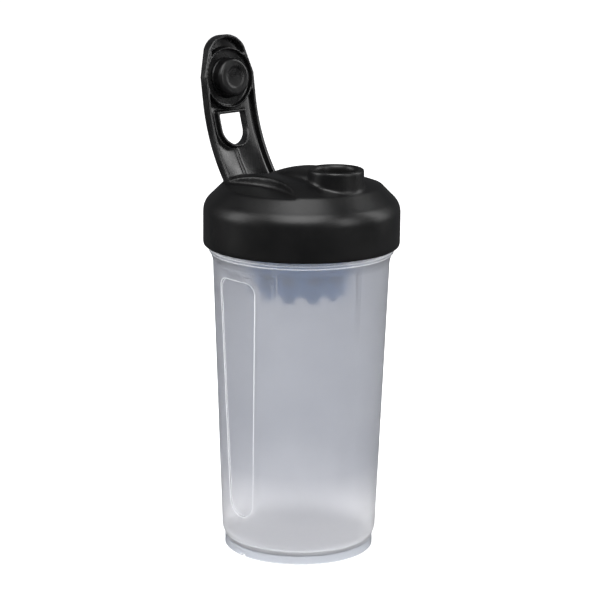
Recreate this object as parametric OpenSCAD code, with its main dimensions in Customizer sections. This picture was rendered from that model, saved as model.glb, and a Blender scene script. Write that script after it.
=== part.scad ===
// Protein shaker bottle with a screw lid, a flip cap on a carry arm and a mixing sieve.
// Millimetres, +Z up. The origin is the centre of the foot, +X points to the spout.

/* [Cup] */
// Outer radius of the foot ring
foot_r = 37.5; // [34:0.5:39]
// Height of the foot ring
foot_h = 6.5; // [5:0.5:9]
// Outer radius of the body just above the foot
base_r = 38.9; // [38:0.1:41]
// Outer radius of the body where the flare under the lid starts
mouth_r = 44; // [43:0.5:47]
// Height of the flange that the lid comes down to
cup_h = 154.5; // [120:0.5:190]
// Wall thickness of the cup
wall = 1.6; // [1.2:0.1:2.2]
// Height of the neck above the flange
neck_h = 17; // [16:0.5:22]
// Depth of a flat side panel at the middle of its top
panel_depth = 2.8; // [2:0.1:3.2]
// Depth of a flat side panel at the middle of its lower end
panel_base_depth = 1.9; // [1.4:0.1:2.4]
// Width of a side panel at its top
panel_top_w = 25; // [18:0.5:28]
// Width of a side panel at its bottom
panel_base_w = 17; // [12:0.5:20]

/* [Lid] */
// Wall thickness of the lid
lid_wall = 2.2; // [1.6:0.1:2.6]
// Straight height of the lid's skirt
skirt_h = 17.3; // [16:0.1:22]
// Rise of the dome above the lid's shoulder
dome_rise = 6.1; // [5:0.1:9]
// Lead of the screw thread
pitch = 5; // [4:0.5:6]
// Turns of the thread on the neck
thread_turns = 1.3; // [1:0.1:1.5]
// Clearance between the lid's skirt and the thread on the neck
skirt_clear = 0.6; // [0.4:0.1:1]

/* [Spout] */
// Distance of the spout from the lid's centre
spout_x = 24.5; // [22:0.5:25]
// Outer radius of the spout
spout_r = 13.8; // [12:0.1:14.5]
// Radius of the spout's bore
bore_r = 10.5; // [9:0.1:11.5]
// Height of the spout's rim above the dome
spout_h = 5.8; // [5:0.1:9]

/* [Flip cap] */
// Width of the arm
arm_w = 32; // [30:0.5:34]
// Thickness of the arm over its rims
arm_t = 4.8; // [4.4:0.1:5.6]
// Rise of the arm's crowned back along its middle
crown_h = 2; // [1:0.1:2.4]
// Thickness of the arm's web
web_t = 1.8; // [1.4:0.1:2.2]
// Radius of the bend along the arm
bend_r = 85; // [75:1:100]
// Distance of the hinge behind the lid's centre
hinge_back = 31; // [29:0.5:33]
// Radius of the hinge pin
pin_r = 1.5; // [1.2:0.1:2]
// Angle that the arm is open at rest
open_angle = 99; // [60:1:99]
// Width of the finger hole
hole_w = 16.5; // [14:0.5:18]

/* [Sieve] */
// Radius of the sieve's basket at its top
basket_r = 25.5; // [22:0.5:28]
// Depth of the sieve below its rim
sieve_depth = 42; // [30:1:60]
// Radius of the holes in the sieve
sieve_hole_r = 3; // [2:0.1:3.4]

/* [Hidden] */
$fn = 96;

fit = 0.05;           // radial clearance of a running fit
gap = 0.3;            // clearance between moving plastic parts
eps = 0.01;

// Cup
neck_r = mouth_r + 0.4;
neck_in = neck_r - wall - 0.2;
rim_z = cup_h + neck_h;
flange_r = mouth_r + 2;
flange_t = 2;
corner_r = 6;
foot_step = 0.4;
corner_a = acos(1 - (base_r - foot_r) / corner_r);
corner_z = foot_h + foot_step + corner_r * sin(corner_a);
flare_z = cup_h - 10;
flare_r = 12;
floor_z = 4;
floor_t = 2.2;
inner_corner = 4;
slope = (mouth_r - base_r) / (flare_z - corner_z);
panel_z0 = foot_h + 15;
panel_z1 = cup_h - 11.5;
panel_corner = 5.5;
rib_face = mouth_r - wall - 1.6;
rib_w = 2;
rib_low = cup_h - 54;

// Thread
thread_h = 1.5;
thread_root = 2.1;
thread_crest = 1.1;
thread_sink = 0.4;
thread_z = cup_h + 5.6;
lug_pitch = 30;
lug_angle = 24;
lid_turns = 1;

// Lid
lid_z = cup_h + 1;
skirt_in = neck_r + thread_h + skirt_clear;
lid_r = skirt_in + 2.5;
shoulder_r = 9;
shoulder_a = 52;
dome_edge = lid_r - 7.7;
dome_slope = 24;
dome_round = 60;
seat_z = rim_z + 1.5;
skirt_top = lid_z + skirt_h;
edge_z = skirt_top + shoulder_r * sin(shoulder_a)
       + (lid_r - shoulder_r * (1 - cos(shoulder_a)) - dome_edge) * tan(shoulder_a);
dome_z = edge_z + dome_rise;
dome_line = (dome_rise - dome_round * (1 - cos(dome_slope))) / tan(dome_slope);
dome_flat = dome_edge - dome_line - dome_round * sin(dome_slope);
collar_out = neck_in - 1.4;
collar_t = 2;
collar_in = collar_out - collar_t;
collar_z = rim_z - 4.5;
gasket_in = collar_out + gap;
gasket_out = skirt_in - 0.8;

// Spout and the hump behind it
spout_z = dome_z + spout_h;
spout_low = dome_z - 5;
lip_in = min(1.9, 0.6 * (spout_r - bore_r));
lip_out = min(0.9, 0.3 * (spout_r - bore_r));
hump_w = 2 * spout_r - 2.2;
hump_round = 5;

// Finger scoops
scoop_r = 54;
scoop_crest = 21;
scoop_a = 1.8;
scoop_drop = 5.4;

// Arm, drawn closed: its middle line is level over the spout and bends down to the hinge
arm_z = spout_z + 0.7;
bend_lead = 10.5;
bend_x = spout_x - bend_lead;
bend_z = arm_z - bend_r;
rim_t = 1.8;
tab_start = 1.6;
tab_l = 14.1;
tab_w = arm_w - 9.4;
tip_h = 6.2;
tip_r = (pow(tab_w / 2, 2) + pow(tip_h, 2)) / (2 * tip_h);
hinge_in = 4.04;      // the pin's distance inside the arm's middle line
hinge = [-hinge_back, 0, bend_z + sqrt(pow(bend_r - hinge_in, 2) - pow(bend_x + hinge_back, 2))];
barrel_r = 5.4;
arm_clear = 0.5;
side_clear = 0.6;
pin_out = arm_w / 2 + 2.2;
snap_w = 2.2;
hole_gap = 18;
hole_l = 16;
hole_rim = 1.4;
hole_rim_h = 3.4;
mid_rib_w = 0.8;
mid_rib_h = 0.6;
ring_in = spout_r + 0.55;
ring_out = ring_in + 1;
ring_z = spout_z - 1.4;
web_z = arm_z + arm_t / 2 - web_t;
stud_r = 4;
stud_h = 2.2;

// Sieve
sieve_out = collar_in - gap;
sieve_wall = 1.4;
sieve_top = collar_z + 5.2;
sieve_ring = 8.5;
bead = 0.7;
bead_z = collar_z + 3;
funnel_h = 13;
basket_taper = 2.6;
lobes = 12;
lobe_h = 4.5;

function arc(x, y, r, a0, a1, n) =
    [for (i = [0:n]) [x + r * cos(a0 + (a1 - a0) * i / n), y + r * sin(a0 + (a1 - a0) * i / n)]];

// Outer radius of the cup's tapered body at a height
function body_r(z) = base_r + slope * (z - corner_z);

// ---------- screw thread ----------

// Interrupted thread of short level lugs that climb one lead per turn: out is 1 on the neck, -1 in the skirt
module thread(r, z, turns, out) {
    base = r - out * thread_sink;
    top = r + out * thread_h;
    for (i = [0:round(360 * turns / lug_pitch) - 1]) {
        zc = z + pitch * i * lug_pitch / 360;
        rotate(i * lug_pitch) rotate_extrude(angle = lug_angle) polygon([
            [base, zc - thread_root / 2], [top, zc - thread_crest / 2],
            [top, zc + thread_crest / 2], [base, zc + thread_root / 2]]);
    }
}

// ---------- cup ----------

module cup_shell() {
    foot_in = foot_r - wall;
    edge = 0.5;
    floor_top = floor_z + floor_t;
    wall_r = body_r(floor_top + inner_corner) - wall;
    outside = concat(
        [[foot_in, 0], [foot_r - edge, 0], [foot_r, edge], [foot_r, foot_h], [foot_r, foot_h + foot_step]],
        arc(base_r - corner_r, corner_z, corner_r, -corner_a, 0, 5),
        arc(mouth_r + flare_r, flare_z + 1.6, flare_r, 180, 150, 5),
        [[flange_r, cup_h - flange_t], [flange_r, cup_h - edge], [flange_r - edge, cup_h], [neck_r, cup_h]],
        arc(neck_r - 0.7, rim_z - 0.7, 0.7, 0, 90, 4));
    inside = concat(
        arc(neck_in + 0.7, rim_z - 0.7, 0.7, 90, 180, 4),
        [[neck_in, cup_h - flange_t], [mouth_r - wall, flare_z]],
        arc(wall_r - inner_corner, floor_top + inner_corner, inner_corner, 0, -90, 5),
        [[0, floor_top], [0, floor_z], [foot_in, floor_z]]);
    rotate_extrude() polygon(concat(outside, inside));
}

// Tapered outline of a side panel with rounded ends, seen from the side
module panel_outline(grow) {
    w0 = panel_base_w / 2 + grow;
    w1 = panel_top_w / 2 + grow;
    c0 = w0 - 0.5;
    c1 = panel_corner + grow;
    z0 = panel_z0 - grow + c0;
    z1 = panel_z1 + grow - c1;
    right = concat(arc(w0 - c0, z0, c0, -90, 0, 7), arc(w1 - c1, z1, c1, 0, 90, 7));
    n = len(right) - 1;
    polygon(concat(right, [for (i = [0:n]) [-right[n - i][0], right[n - i][1]]]));
}

// Slab behind a side panel's flat face, from a depth under the face outwards
module panel(grow, under, thick) {
    z0 = panel_z0;
    z1 = panel_z1;
    y0 = body_r(z0) - panel_base_depth;
    y1 = body_r(z1) - panel_depth;
    tilt = atan((y1 - y0) / (z1 - z0));
    for (side = [-1, 1])
        intersection() {
            translate([0, side * y0, z0]) rotate([-side * tilt, 0, 0])
                translate([-mouth_r, side > 0 ? -under : under - thick, -mouth_r])
                    cube([2 * mouth_r, thick, 5 * mouth_r]);
            translate([0, side * mouth_r, 0]) rotate([90, 0, 0])
                linear_extrude(mouth_r, center = true) panel_outline(grow);
        }
}

module ribs() {
    for (i = [0:5])
        rotate(60 * i) translate([rib_face, -rib_w / 2, rib_low])
            cube([wall + 1.6, rib_w, cup_h - rib_low - 0.8]);
}

module cup() {
    notch_w = 3;
    notch_h = 1.4;
    color([0.80, 0.83, 0.88, 0.45]) difference() {
        union() {
            cup_shell();
            intersection() {
                union() {
                    ribs();
                    panel(wall, wall, 2 * wall);
                }
                rotate_extrude() polygon([
                    [0, foot_h], [body_r(foot_h) - wall / 2, foot_h],
                    [mouth_r - wall / 2, flare_z], [neck_r - wall / 2, cup_h], [0, cup_h]]);
            }
            thread(neck_r, thread_z, thread_turns, 1);
        }
        panel(0, 0, 10);
        for (side = [-1, 1])
            translate([-notch_w / 2, side * foot_r - 3, -1]) cube([notch_w, 6, 1 + notch_h]);
    }
}

// ---------- lid ----------

module dome(inset) {
    r = lid_r - inset;
    round_r = dome_round - inset;
    top = dome_z - inset;
    rotate_extrude() polygon(concat(
        [[0, lid_z - 1], [r, lid_z - 1]],
        arc(lid_r - shoulder_r, skirt_top, shoulder_r - inset, 0, shoulder_a, 8),
        arc(dome_flat, top - round_r, round_r, 90 - dome_slope, 90, 6),
        [[0, top]]));
}

// Room that the arm and its barrel sweep through, seen from the side
module arm_room_outline(grow) {
    deep = arm_t / 2 + hinge_in + crown_h + arm_clear + grow;
    out = hinge[0] - deep * sin(lean_a());
    low = hinge[2] - deep * cos(lean_a());
    run = 40;
    translate([hinge[0], hinge[2]]) circle(barrel_r + arm_clear + grow);
    polygon([[out, low], [out - run * cos(lean_a()), low + run * sin(lean_a())],
             [hinge[0], low + run * sin(lean_a())], [hinge[0], low]]);
    difference() {
        translate([hinge[0] - eps, hinge[2] - barrel_r / 2]) square([spout_x + hinge_back, 40]);
        translate([bend_x, bend_z]) circle(bend_r - arm_t / 2 - arm_clear - grow, $fn = 180);
    }
}

// Angle of the open arm above the horizontal, behind the hinge
function lean_a() = 180 - open_angle - arm_slope();
function arm_slope() = asin((bend_x + hinge_back - hinge_in) / bend_r);

module arm_room(grow) {
    rotate([90, 0, 0])
        linear_extrude(arm_w + 2 * side_clear + 2 * grow, center = true) arm_room_outline(grow);
}

module scoops(grow) {
    floor_drop = scoop_drop + grow + scoop_r * sin(scoop_a);
    for (side = [-1, 1])
        translate([0, side * (scoop_crest + scoop_r), dome_z - floor_drop])
            rotate([-side * scoop_a, 0, 0]) cylinder(r = scoop_r + grow, h = 30, $fn = 180);
}

// Hollow under the dome, which leaves walls around the scoops, the arm's room and the pin's seats
module lid_hollow() {
    difference() {
        intersection() {
            dome(lid_wall);
            translate([0, 0, collar_z - 1]) cylinder(r = collar_in, h = 60);
        }
        scoops(lid_wall);
        arm_room(lid_wall);
        translate(hinge) rotate([90, 0, 0]) cylinder(r = pin_r + 3, h = 2 * pin_out + 4, center = true);
        translate([spout_x, 0, spout_low]) cylinder(r = bore_r + lid_wall, h = dome_z);
    }
}

// Crowned hump behind the spout that follows the underside of the closed arm
module hump() {
    start = hinge[0] + barrel_r + arm_clear + 1;
    crest = bend_r + arm_t / 2 - hole_rim_h - arm_clear;
    steps = 12;
    intersection() {
        translate([bend_x, 0, bend_z]) rotate([90, 0, 0]) rotate_extrude($fn = 180) polygon(concat(
            [[crest - 20, hump_w / 2], [crest - 20, -hump_w / 2]],
            [for (i = [0:steps]) [crest - hump_round * (1 - sin(180 * i / steps)),
                                  -hump_w / 2 * cos(180 * i / steps)]]));
        translate([start, -hump_w, dome_z - 6])
            cube([spout_x - start, 2 * hump_w, ring_z - arm_clear - dome_z + 6]);
    }
}

module spout_wall() {
    translate([spout_x, 0, 0]) rotate_extrude() polygon(concat(
        [[bore_r - eps, spout_low], [spout_r, spout_low]],
        arc(spout_r - lip_out, spout_z - lip_out, lip_out, 0, 90, 4),
        arc(bore_r - eps + lip_in, spout_z - lip_in, lip_in, 90, 180, 6)));
}

module lid() {
    edge = 1.2;
    color([0.10, 0.10, 0.11]) {
        difference() {
            union() {
                difference() {
                    dome(0);
                    scoops(0);
                    arm_room(0);
                    lid_hollow();
                }
                hump();
                intersection() {
                    spout_wall();
                    union() {
                        dome(0.5);
                        translate([0, 0, edge_z]) cylinder(r = lid_r, h = spout_z);
                    }
                }
            }
            // room for the neck, under the seat of the seal
            difference() {
                translate([0, 0, lid_z - 2]) cylinder(r = skirt_in, h = seat_z - lid_z + 2);
                translate([0, 0, collar_z]) cylinder(r = collar_out, h = 30);
            }
            // rounded lower edge of the skirt
            rotate_extrude() polygon(concat(
                [[lid_r + 1, lid_z + edge]],
                arc(lid_r - edge, lid_z + edge, edge, 0, -90, 5),
                [[skirt_in - 1, lid_z], [skirt_in - 1, lid_z - 2], [lid_r + 1, lid_z - 2]]));
            // groove that holds the sieve's bead
            translate([0, 0, bead_z - gap]) difference() {
                cylinder(r = collar_in + bead, h = 1.2 + 2 * gap);
                translate([0, 0, -1]) cylinder(r = collar_in - 1, h = 6);
            }
            translate([spout_x, 0, dome_z - 12]) cylinder(r = bore_r, h = 40);
            // seats of the pin's ends, with the slots that it snaps down through
            translate(hinge) rotate([90, 0, 0]) cylinder(r = pin_r + fit, h = 2 * pin_out + 0.4, center = true);
            translate(hinge + [-snap_w / 2, -pin_out - 0.2, 0]) cube([snap_w, 2 * pin_out + 0.4, 30]);
        }
        thread(skirt_in, thread_z - pitch / 2, lid_turns, -1);
    }
}

module lid_gasket() {
    color([0.22, 0.22, 0.23]) translate([0, 0, rim_z + 0.1]) difference() {
        cylinder(r = gasket_out, h = seat_z - rim_z - 0.1);
        translate([0, 0, -1]) cylinder(r = gasket_in, h = 4);
    }
}

// ---------- mixing sieve ----------

module mixing_sieve() {
    ring_low = sieve_top - sieve_ring;
    basket_top = ring_low - funnel_h;
    basket_low = sieve_top - sieve_depth;
    low_r = basket_r - basket_taper;
    floor_low = basket_low + lobe_h;
    color([0.36, 0.56, 0.74]) difference() {
        union() {
            rotate_extrude() polygon([
                [sieve_out, sieve_top], [sieve_out - sieve_wall, sieve_top],
                [sieve_out - sieve_wall, ring_low + 0.6], [basket_r - sieve_wall, basket_top],
                [low_r - sieve_wall, floor_low + sieve_wall], [0, floor_low + sieve_wall],
                [0, floor_low], [low_r - sieve_wall, floor_low], [low_r - sieve_wall, basket_low],
                [low_r, basket_low], [basket_r, basket_top], [sieve_out, ring_low]]);
            translate([0, 0, bead_z]) difference() {
                cylinder(r = sieve_out + bead - 0.1, h = 1.2);
                translate([0, 0, -1]) cylinder(r = sieve_out - 0.5, h = 4);
            }
        }
        // round gaps that leave a scalloped lower edge
        for (i = [0:lobes - 1])
            rotate(360 / lobes * (i + 0.5) + 3) translate([low_r - 5, 0, basket_low]) rotate([0, 90, 0])
                cylinder(r = lobe_h - 1, h = 10);
        // holes in the basket's wall
        for (i = [0:lobes - 1])
            rotate(360 / lobes * i + 3) translate([low_r - 5, 0, basket_low + 12]) rotate([0, 90, 0])
                cylinder(r = sieve_hole_r, h = 12);
        // holes in the funnel
        for (i = [0:2 * lobes - 1])
            rotate(180 / lobes * i) translate([(sieve_out + basket_r) / 2 - 1, 0, ring_low - funnel_h / 2])
                rotate([0, 45, 0]) cylinder(r = sieve_hole_r * 0.75, h = 12, center = true);
        // holes in the floor
        for (ring = [0:2]) for (i = [0:max(0, 6 * ring - 1)])
            rotate(ring == 0 ? 0 : 60 * i / ring) translate([7.2 * ring, 0, floor_low - 1])
                cylinder(r = sieve_hole_r * 0.85, h = 6);
    }
}

// ---------- flip cap ----------

// Turns what is drawn closed to the open position
module opened() {
    translate(hinge) rotate([0, -open_angle, 0]) translate(-hinge) children();
}

// Rise of the arm's crowned back at a distance from its middle
function crown(y) = crown_h * (1 - pow(2 * y / arm_w, 2));

// Band along the arm between two heights above its middle line. Its lower side is level or crowned.
module arm_band(low, high, level) {
    half = arm_w / 2 + 1;
    n = 8;
    ys = [for (i = [-n:n]) half * i / n];
    section = concat([for (y = ys) [y, bend_r + low + (level ? 0 : crown(y))]],
                     [for (i = [0:2 * n]) [ys[2 * n - i], bend_r + high + crown(ys[2 * n - i])]]);
    translate([bend_x, 0, bend_z]) {
        intersection() {
            rotate([90, 0, 0]) rotate_extrude($fn = 180) polygon([for (p = section) [p[1], p[0]]]);
            translate([hinge[0] - bend_x, -arm_w, hinge[2] - 5 - bend_z])
                cube([bend_x - hinge[0], 2 * arm_w, 40]);
        }
        rotate([90, 0, 90]) linear_extrude(50) polygon(section);
    }
}

// Outline of the arm from above, drawn closed: straight, then tapered, then an arched tip
module arm_outline(inset) {
    w = arm_w / 2 - inset;
    end_w = tab_w / 2 - inset;
    x0 = spout_x + tab_start;
    x1 = x0 + tab_l;
    intersection() {
        polygon([[hinge[0], -w], [x0, -w], [x1, -end_w], [x1 + tip_h, -end_w],
                 [x1 + tip_h, end_w], [x1, end_w], [x0, w], [hinge[0], w]]);
        union() {
            translate([x1 + tip_h - tip_r, 0]) circle(tip_r - inset);
            translate([hinge[0] - 1, -w]) square([x1 + tip_h - tip_r - hinge[0] + 1, 2 * w]);
        }
    }
}

// Finger hole: flat at the spout's end and round at the hinge's end
module hole_outline(grow) {
    flat = spout_x - hole_gap;
    r = hole_w / 2 + grow;
    polygon(concat([[flat + grow, -r], [flat + grow, r]],
                   arc(flat - hole_l + hole_w / 2, 0, r, 90, 270, 24)));
}

module arm_column(h) { translate([0, 0, hinge[2] - 5]) linear_extrude(h) children(); }

module flip_cap() {
    top = arm_t / 2;
    column = 45;
    color([0.07, 0.07, 0.08]) opened() difference() {
        union() {
            intersection() {
                arm_band(top - web_t, top, false);
                arm_column(column) arm_outline(0);
            }
            intersection() {
                arm_band(-top, top, true);
                arm_column(column) difference() { arm_outline(0); arm_outline(rim_t); }
            }
            intersection() {
                arm_band(top - hole_rim_h, top, true);
                arm_column(column) hole_outline(hole_rim);
            }
            intersection() {
                arm_band(top - web_t - mid_rib_h, top, false);
                translate([hinge[0] + 4, -mid_rib_w / 2, hinge[2]]) cube([hinge_back, mid_rib_w, column]);
            }
            intersection() {
                arm_band(-2 * arm_t, top - web_t / 2, false);
                translate([spout_x, 0, ring_z]) cylinder(r = ring_out, h = column);
            }
            translate(hinge) rotate([90, 0, 0]) cylinder(r = barrel_r, h = arm_w, center = true);
        }
        arm_column(column) hole_outline(0);
        translate([spout_x, 0, ring_z - 1]) difference() {
            cylinder(r = ring_in, h = web_z - ring_z + 1);
            translate([0, 0, web_z - ring_z + 1 - stud_h]) cylinder(r = stud_r, h = 10);
        }
        translate(hinge) rotate([90, 0, 0]) cylinder(r = pin_r, h = arm_w + 2, center = true);
    }
}

module spout_stopper() {
    r = bore_r - 0.7;
    flange = r + 0.6;
    low = spout_z - 5.6;
    color([0.09, 0.09, 0.10]) opened() translate([spout_x, 0, 0]) difference() {
        rotate_extrude() polygon(concat(
            [[0, web_z], [flange, web_z], [flange, spout_z + gap], [r, spout_z + gap]],
            arc(r - 1.8, low + 1.8, 1.8, 0, -90, 6),
            [[5.6, low], [4.8, low + 0.4], [0, low + 0.4]]));
        translate([0, 0, web_z - stud_h - 0.2]) cylinder(r = stud_r + fit, h = 10);
    }
}

module hinge_pin() {
    tip = 0.4;
    color([0.62, 0.63, 0.65]) opened() translate(hinge) rotate([90, 0, 0]) rotate_extrude() polygon([
        [0, -pin_out], [pin_r - tip, -pin_out], [pin_r, -pin_out + tip],
        [pin_r, pin_out - tip], [pin_r - tip, pin_out], [0, pin_out]]);
}

cup();
lid();
lid_gasket();
mixing_sieve();
flip_cap();
spout_stopper();
hinge_pin();
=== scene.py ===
# %% [markdown]
# # A protein shaker bottle
# The bottle is a frosted cup, a black screw lid with a spout, and a flip cap that is also the carry
# handle. The solid model already fixes every size and every joint, so this script loads it as a
# frame and then dresses it: soft moulded edges where they catch light, and real finishes.

# %% Load the frame
import math
import bmesh
import bpy
from mathutils import Matrix, Vector


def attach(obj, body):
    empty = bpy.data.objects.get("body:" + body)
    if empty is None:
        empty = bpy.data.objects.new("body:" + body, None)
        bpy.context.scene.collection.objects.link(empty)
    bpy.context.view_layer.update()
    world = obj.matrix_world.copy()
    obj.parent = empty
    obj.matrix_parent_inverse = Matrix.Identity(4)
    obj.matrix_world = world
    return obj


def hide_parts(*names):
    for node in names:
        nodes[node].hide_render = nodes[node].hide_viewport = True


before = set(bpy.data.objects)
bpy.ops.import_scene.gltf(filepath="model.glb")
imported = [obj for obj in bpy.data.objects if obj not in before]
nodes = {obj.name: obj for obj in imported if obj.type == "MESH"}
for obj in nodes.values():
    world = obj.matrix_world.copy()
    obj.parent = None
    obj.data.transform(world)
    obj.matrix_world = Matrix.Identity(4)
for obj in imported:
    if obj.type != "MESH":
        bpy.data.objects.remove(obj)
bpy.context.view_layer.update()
print("nodes:", sorted(nodes))

# %% [markdown]
# ## Camera
# A long lens from a little above the lid, turned about its own axis by half a degree. The bottle
# stands on the world's origin, so the camera only needs a direction, a distance and a height.

# %% Camera
CAMERA_TURN = math.radians(47.8)
CAMERA_DISTANCE = 1.2
CAMERA_HEIGHT = 0.412
CAMERA_PITCH = math.radians(13.37)
CAMERA_ROLL = math.radians(0.59)
CAMERA_LENS = 147.9
CAMERA_SENSOR = 36
CAMERA_SHIFT = -0.0015

camera = bpy.data.objects.new("camera", bpy.data.cameras.new("camera"))
bpy.context.scene.collection.objects.link(camera)
camera.location = (CAMERA_DISTANCE * math.sin(CAMERA_TURN), -CAMERA_DISTANCE * math.cos(CAMERA_TURN),
                   CAMERA_HEIGHT)
look = Matrix.Rotation(CAMERA_TURN, 4, "Z") @ Matrix.Rotation(math.pi / 2 - CAMERA_PITCH, 4, "X")
camera.rotation_euler = (look @ Matrix.Rotation(CAMERA_ROLL, 4, "Z")).to_euler()
camera.data.lens = CAMERA_LENS
camera.data.sensor_width = CAMERA_SENSOR
camera.data.shift_x = CAMERA_SHIFT
bpy.context.scene.camera = camera
print("camera at", [round(v, 3) for v in camera.location])

# %% [markdown]
# ## Floor
# A pale sheet of paper that runs far out of view, lit from within so that it stays white to its far
# edge. Black plastic would mirror so bright a sheet, so gloss does not see it.

# %% Floor
FLOOR_RADIUS = 8.0
FLOOR_COLOUR = (0.92, 0.92, 0.92)
FLOOR_GLOW = 0.85


def linked(name, mesh):
    """Put a mesh in the scene as an object at the origin."""
    obj = bpy.data.objects.new(name, mesh)
    bpy.context.scene.collection.objects.link(obj)
    return obj


def finish_named(name, colour, roughness):
    """A new material and its Principled shader, with a plain colour and roughness."""
    mat = bpy.data.materials.new(name)
    mat.use_nodes = True
    shader = mat.node_tree.nodes["Principled BSDF"]
    shader.inputs["Base Color"].default_value = (*colour, 1)
    shader.inputs["Roughness"].default_value = roughness
    return mat, shader


disc = bmesh.new()
bmesh.ops.create_circle(disc, cap_ends=True, segments=96, radius=FLOOR_RADIUS)
floor_mesh = bpy.data.meshes.new("floor")
disc.to_mesh(floor_mesh)
disc.free()
floor = linked("floor", floor_mesh)
paper, paper_shader = finish_named("pale_paper", FLOOR_COLOUR, 0.9)
paper_shader.inputs["Specular IOR Level"].default_value = 0.1
paper_shader.inputs["Emission Color"].default_value = (1, 1, 1, 1)
paper_shader.inputs["Emission Strength"].default_value = FLOOR_GLOW
floor.visible_glossy = False
floor_mesh.materials.append(paper)
print("floor made, metres across:", 2 * FLOOR_RADIUS)

# %% [markdown]
# ## Light
# Soft boxes make black plastic readable: its shape shows in what it reflects. A tall box in front
# lights the shoulder of the lid, one at the side lights the hollow of the arm, one at the left fills
# the cup, and a narrow one behind draws the edge of the spout. A dim room fills the rest.

# %% Light
LIGHT_AIM = Vector((0, 0, 0.14))
ROOM_COLOUR = (0.94, 0.96, 1.0, 1)
ROOM_STRENGTH = 0.09


def soft_box(name, turn, rise, distance, width, height, watts):
    """A rectangular area light that looks at the upper cup, turned from +X and raised in degrees."""
    light = bpy.data.objects.new(name, bpy.data.lights.new(name, "AREA"))
    bpy.context.scene.collection.objects.link(light)
    light.data.shape = "RECTANGLE"
    light.data.size, light.data.size_y = width, height
    light.data.energy = watts
    turn, rise = math.radians(turn), math.radians(rise)
    way = Vector((math.cos(rise) * math.cos(turn), math.cos(rise) * math.sin(turn), math.sin(rise)))
    light.location = LIGHT_AIM + way * distance
    light.rotation_euler = (-way).to_track_quat("-Z", "Y").to_euler()


soft_box("front_box", -46, 56, 1.9, 1.5, 1.7, 47)
soft_box("left_box", -125, 24, 1.6, 0.6, 1.2, 11)
soft_box("rim_box", 62, 24, 1.6, 0.3, 1.4, 9)
soft_box("side_box", 12, 22, 1.6, 0.5, 1.0, 7)
room = bpy.data.worlds.new("room")
bpy.context.scene.world = room
room.use_nodes = True
backdrop = room.node_tree.nodes["Background"]
backdrop.inputs["Color"].default_value = ROOM_COLOUR
backdrop.inputs["Strength"].default_value = ROOM_STRENGTH
bpy.context.scene.view_settings.view_transform = "Standard"

# %% [markdown]
# ## Softening a moulded piece
# Moulded plastic has no sharp edge anywhere: the mould is polished, and the part leaves it with
# small radii that catch the light. Bevels could round each edge, but here curved walls meet at every
# angle. Remeshing a copy evenly and then relaxing its points rounds them all by about the same
# amount, and it also fills the inner corners the way a mould does.

# %% Softening a moulded piece
def evened(mesh, name, grain):
    """Rebuild a closed mesh as an even skin of small squares."""
    piece = linked(name, mesh)
    even = piece.modifiers.new("even", "REMESH")
    even.mode = "VOXEL"
    even.voxel_size = grain
    depsgraph = bpy.context.evaluated_depsgraph_get()
    skin = bpy.data.meshes.new_from_object(piece.evaluated_get(depsgraph))
    piece.modifiers.clear()
    piece.data = skin
    return piece


def softened(node_name, grain, rounds):
    """Stand a rounded copy of a solid in for it. Grain and rounds set the radius of its edges."""
    source = nodes[node_name].data.copy()
    shape = bmesh.new()
    shape.from_mesh(source)
    bmesh.ops.remove_doubles(shape, verts=shape.verts, dist=1e-6)
    shape.to_mesh(source)
    shape.free()
    piece = evened(source, node_name + "_moulded", grain)
    shape = bmesh.new()
    shape.from_mesh(piece.data)
    for _ in range(rounds):
        bmesh.ops.smooth_vert(shape, verts=shape.verts, factor=0.5, use_axis_x=True, use_axis_y=True,
                              use_axis_z=True)
    for face in shape.faces:
        face.smooth = True
    shape.to_mesh(piece.data)
    print(piece.name, "has", 2 * len(shape.faces), "triangles")
    shape.free()
    piece.data.materials.clear()
    return piece


# %% Moulded pieces
LID_GRAIN, LID_ROUNDS = 0.0007, 4
ARM_GRAIN, ARM_ROUNDS = 0.00036, 8
PLUG_GRAIN, PLUG_ROUNDS = 0.00028, 4
lid = softened("lid", LID_GRAIN, LID_ROUNDS)
arm = softened("flip_cap", ARM_GRAIN, ARM_ROUNDS)
plug = softened("spout_stopper", PLUG_GRAIN, PLUG_ROUNDS)
for piece, node_name, body in ((lid, "lid", "lid"), (arm, "flip_cap", "flip_cap"),
                               (plug, "spout_stopper", "flip_cap")):
    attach(piece, body)
    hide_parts(node_name)

# %% [markdown]
# ## Finishes
# Each finish starts from its plain colour and gloss, then gets the small things that make it read
# as the real material: a fine grain from the mould, slow changes of gloss, and colour that is never
# quite even. All patterns use Object coordinates in metres, so a scale of 4000 is a grain of a
# quarter of a millimetre.

# %% Grain and slow variation
GRAIN_DETAIL = 3
GRAIN_STRENGTH = 0.5
DRIFT_DETAIL = 4
DRIFT_LOW, DRIFT_HIGH = 0.35, 0.65


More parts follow.
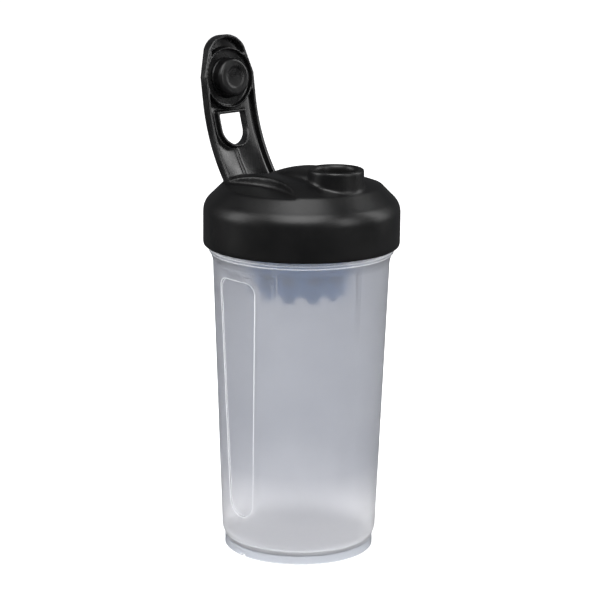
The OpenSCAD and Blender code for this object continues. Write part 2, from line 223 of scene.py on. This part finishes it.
def grained(mat, shader, grain_scale, grain_depth, gloss, gloss_scale, stretch=(1, 1, 1)):
    """Add a bump of fine grain and a gloss that drifts between two values. Returns the slow noise."""
    tree = mat.node_tree
    place = tree.nodes.new("ShaderNodeTexCoord")
    scaled = tree.nodes.new("ShaderNodeMapping")
    scaled.inputs["Scale"].default_value = stretch
    tree.links.new(place.outputs["Object"], scaled.inputs["Vector"])
    fine = tree.nodes.new("ShaderNodeTexNoise")
    fine.inputs["Scale"].default_value = grain_scale
    fine.inputs["Detail"].default_value = GRAIN_DETAIL
    tree.links.new(scaled.outputs["Vector"], fine.inputs["Vector"])
    bump = tree.nodes.new("ShaderNodeBump")
    bump.inputs["Strength"].default_value = GRAIN_STRENGTH
    bump.inputs["Distance"].default_value = grain_depth
    tree.links.new(fine.outputs["Fac"], bump.inputs["Height"])
    tree.links.new(bump.outputs["Normal"], shader.inputs["Normal"])
    slow = tree.nodes.new("ShaderNodeTexNoise")
    slow.inputs["Scale"].default_value = gloss_scale
    slow.inputs["Detail"].default_value = DRIFT_DETAIL
    tree.links.new(scaled.outputs["Vector"], slow.inputs["Vector"])
    drift = tree.nodes.new("ShaderNodeMapRange")
    drift.inputs["From Min"].default_value = DRIFT_LOW
    drift.inputs["From Max"].default_value = DRIFT_HIGH
    drift.inputs["To Min"].default_value, drift.inputs["To Max"].default_value = gloss
    tree.links.new(slow.outputs["Fac"], drift.inputs["Value"])
    tree.links.new(drift.outputs["Result"], shader.inputs["Roughness"])
    return slow


def tinted(mat, shader, slow, dark, light):
    """Let the base colour drift between two close colours with the slow noise."""
    tree = mat.node_tree
    ramp = tree.nodes.new("ShaderNodeValToRGB")
    low, high = ramp.color_ramp.elements
    low.position, low.color = DRIFT_LOW, (*dark, 1)
    high.position, high.color = DRIFT_HIGH, (*light, 1)
    tree.links.new(slow.outputs["Fac"], ramp.inputs["Fac"])
    tree.links.new(ramp.outputs["Color"], shader.inputs["Base Color"])


def wear(piece, mat):
    """Give a piece or a solid's own object this one finish."""
    piece.data.materials.clear()
    piece.data.materials.append(mat)


# %% [markdown]
# ## Solid colours
# The lid is satin, the arm is glossier, and the plug is soft rubber. Only the cup lets light
# through, so the seal, the sieve and the pin behind it or under the lid need no more than this.

# %% Satin black of the lid
satin, satin_shader = finish_named("satin_black", (0.006, 0.006, 0.006), 0.4)
satin_shader.inputs["Specular IOR Level"].default_value = 0.4
slow = grained(satin, satin_shader, 3800, 0.00004, gloss=(0.34, 0.42), gloss_scale=45)
tinted(satin, satin_shader, slow, (0.002, 0.002, 0.0022), (0.004, 0.0039, 0.0039))
wear(lid, satin)

# %% Glossier black of the arm
polished, polished_shader = finish_named("polished_black", (0.008, 0.008, 0.009), 0.3)
polished_shader.inputs["Specular IOR Level"].default_value = 0.5
slow = grained(polished, polished_shader, 2600, 0.00002, gloss=(0.2, 0.3), gloss_scale=70)
tinted(polished, polished_shader, slow, (0.003, 0.003, 0.0032), (0.006, 0.006, 0.0062))
wear(arm, polished)

# %% Soft rubber of the plug
rubber, rubber_shader = finish_named("soft_rubber", (0.005, 0.005, 0.005), 0.35)
rubber_shader.inputs["Specular IOR Level"].default_value = 0.35
slow = grained(rubber, rubber_shader, 5200, 0.00003, gloss=(0.24, 0.36), gloss_scale=120)
tinted(rubber, rubber_shader, slow, (0.002, 0.002, 0.0022), (0.004, 0.004, 0.0042))
wear(plug, rubber)

# %% Silicone of the seal
seal, seal_shader = finish_named("grey_silicone", (0.08, 0.08, 0.085), 0.5)
slow = grained(seal, seal_shader, 4200, 0.00003, gloss=(0.42, 0.6), gloss_scale=90)
tinted(seal, seal_shader, slow, (0.07, 0.07, 0.075), (0.1, 0.1, 0.105))
wear(nodes["lid_gasket"], seal)

# %% Blue plastic of the sieve
blue, blue_shader = finish_named("blue_plastic", (0.04, 0.22, 0.55), 0.35)
slow = grained(blue, blue_shader, 3000, 0.00003, gloss=(0.28, 0.42), gloss_scale=80)
tinted(blue, blue_shader, slow, (0.035, 0.2, 0.52), (0.06, 0.26, 0.6))
wear(nodes["mixing_sieve"], blue)

# %% Drawn steel of the pin
steel, steel_shader = finish_named("drawn_steel", (0.62, 0.62, 0.64), 0.3)
steel_shader.inputs["Metallic"].default_value = 1.0
slow = grained(steel, steel_shader, 1500, 0.00001, gloss=(0.22, 0.36), gloss_scale=400,
               stretch=(1, 0.05, 1))
tinted(steel, steel_shader, slow, (0.55, 0.55, 0.57), (0.68, 0.68, 0.7))
wear(nodes["hinge_pin"], steel)

# %% [markdown]
# ## The see-through cup
# Frosted plastic is mostly rough glass, a little grey-blue. Three marks of painted light and shade
# break it up by place. The foot is painted paler, painted light for the light that the thick floor
# scatters up through it. The ring that the bottle stands on is painted darker again, painted shade
# that keeps it apart from the paper. Every edge of the moulding gets a painted highlight: it is
# whiter and lets less light through, and a small bevel of the normal finds the edges without changing
# the mesh.

# %% Frosted plastic of the cup
FROST_BODY = (0.5, 0.511, 0.545)
# Painted light: the paler colour of the foot.
FROST_FOOT_PAINTED_LIGHT = (0.81, 0.81, 0.83)
# Painted shade: the darker colour of the standing ring.
FROST_RING_PAINTED_SHADE = (0.52, 0.54, 0.58)
# Pale tone for the uneven cloud of the plastic, and the painted highlight on every edge.
FROST_PALE_CLOUD_AND_PAINTED_HIGHLIGHT = (0.95, 0.96, 0.98)
FROST_IOR = 1.3
PAINTED_FOOT_LIGHT_FADE = (0.046, 0.02)
PAINTED_RING_SHADE_FADE = (0.0056, 0.0048)
EDGE_RADIUS = 0.001
PAINTED_HIGHLIGHT_FADE = (0.995, 0.93)
CLOUD_DEPTH = 0.08
CLEAR_BODY, CLEAR_EDGE = 0.86, 0.3
MIX_FACTOR, MIX_FIRST, MIX_SECOND, MIX_RESULT = 0, 6, 7, 2

frost, frost_shader = finish_named("frosted_plastic", FROST_BODY, 0.3)
frost_shader.inputs["IOR"].default_value = FROST_IOR
slow = grained(frost, frost_shader, 2400, 0.00003, gloss=(0.3, 0.36), gloss_scale=35)
frost_tree = frost.node_tree


def blended(factor, first, second):
    """Mix two colours by a factor socket. Each colour is a fixed triple or a socket."""
    mix = frost_tree.nodes.new("ShaderNodeMix")
    mix.data_type = "RGBA"
    frost_tree.links.new(factor, mix.inputs[MIX_FACTOR])
    for socket, colour in ((MIX_FIRST, first), (MIX_SECOND, second)):
        if isinstance(colour, tuple):
            mix.inputs[socket].default_value = (*colour, 1)
        else:
            frost_tree.links.new(colour, mix.inputs[socket])
    return mix.outputs[MIX_RESULT]


def ranged(value, low, high, start=0.0, end=1.0):
    """Map a value from low..high to start..end, held at both ends."""
    step = frost_tree.nodes.new("ShaderNodeMapRange")
    for socket, number in (("From Min", low), ("From Max", high), ("To Min", start), ("To Max", end)):
        step.inputs[socket].default_value = number
    frost_tree.links.new(value, step.inputs["Value"])
    return step.outputs["Result"]


place = frost_tree.nodes.new("ShaderNodeTexCoord")
split = frost_tree.nodes.new("ShaderNodeSeparateXYZ")
frost_tree.links.new(place.outputs["Object"], split.inputs["Vector"])
height = split.outputs["Z"]

bevelled = frost_tree.nodes.new("ShaderNodeBevel")
bevelled.samples = 4
bevelled.inputs["Radius"].default_value = EDGE_RADIUS
actual = frost_tree.nodes.new("ShaderNodeNewGeometry")
agreement = frost_tree.nodes.new("ShaderNodeVectorMath")
agreement.operation = "DOT_PRODUCT"
frost_tree.links.new(bevelled.outputs["Normal"], agreement.inputs[0])
frost_tree.links.new(actual.outputs["Normal"], agreement.inputs[1])
# Painted highlight: an edge is found where the bevelled normal turns away from the true one.
painted_highlight_mask = ranged(agreement.outputs["Value"], *PAINTED_HIGHLIGHT_FADE)

cloud = ranged(slow.outputs["Fac"], DRIFT_LOW, DRIFT_HIGH, 0.0, CLOUD_DEPTH)
shade = blended(cloud, FROST_BODY, FROST_PALE_CLOUD_AND_PAINTED_HIGHLIGHT)
# Painted light: towards the foot the colour fades into a paler one, for the light scattered up
# through the thick floor.
shade = blended(ranged(height, *PAINTED_FOOT_LIGHT_FADE), shade, FROST_FOOT_PAINTED_LIGHT)
# Painted shade: the lowest few millimetres, the ring the bottle stands on, go darker again.
shade = blended(ranged(height, *PAINTED_RING_SHADE_FADE), shade, FROST_RING_PAINTED_SHADE)
# Painted highlight: edges are mixed towards white, and let less light through below.
frost_tree.links.new(blended(painted_highlight_mask, shade, FROST_PALE_CLOUD_AND_PAINTED_HIGHLIGHT), frost_shader.inputs["Base Color"])
frost_tree.links.new(ranged(painted_highlight_mask, 0.0, 1.0, CLEAR_BODY, CLEAR_EDGE),
                     frost_shader.inputs["Transmission Weight"])
wear(nodes["cup"], frost)
print("finishes:", [m.name for m in bpy.data.materials])
